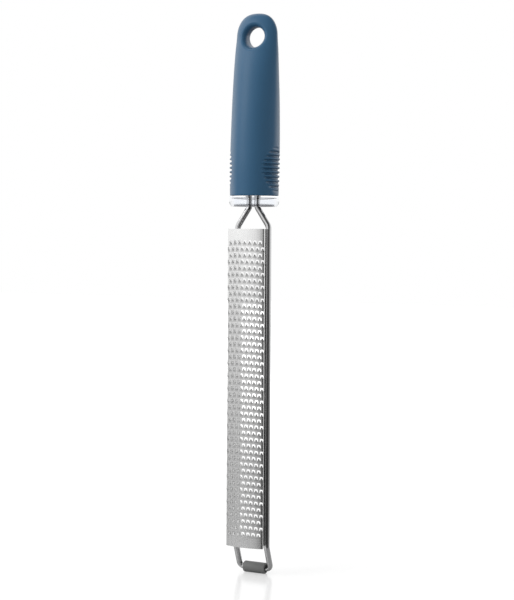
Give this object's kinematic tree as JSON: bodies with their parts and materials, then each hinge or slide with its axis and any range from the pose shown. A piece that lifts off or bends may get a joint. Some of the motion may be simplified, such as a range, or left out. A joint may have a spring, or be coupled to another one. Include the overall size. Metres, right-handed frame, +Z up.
{
  "type": "rasp zester",
  "caption": "Upright rasp zester: arched toothed steel blade on a bent wire frame, soft moulded handle with a hang hole, clear collar and a rubber foot sleeve",
  "frame": {"origin": "on the floor below the middle of the tool's box", "axes": "+Z up the tool from its foot to the hang hole, +X across the blade, +Y towards the back; the toothed face looks towards -Y"},
  "size_m": [0.0308, 0.0302, 0.3381],
  "materials": {
    "grip": "soft-touch moulded, satin",
    "clear_core": "clear moulded plastic, glossy",
    "wire": "polished steel wire",
    "blade": "satin stainless sheet with etched teeth",
    "foot": "dark grey rubber, matte"
  },
  "bodies": {
    "root": {"grip": "grip", "handle_core": "clear_core", "wire_frame": "wire", "blade": "blade", "foot_sleeve": "foot"}
  },
  "joints": []
}
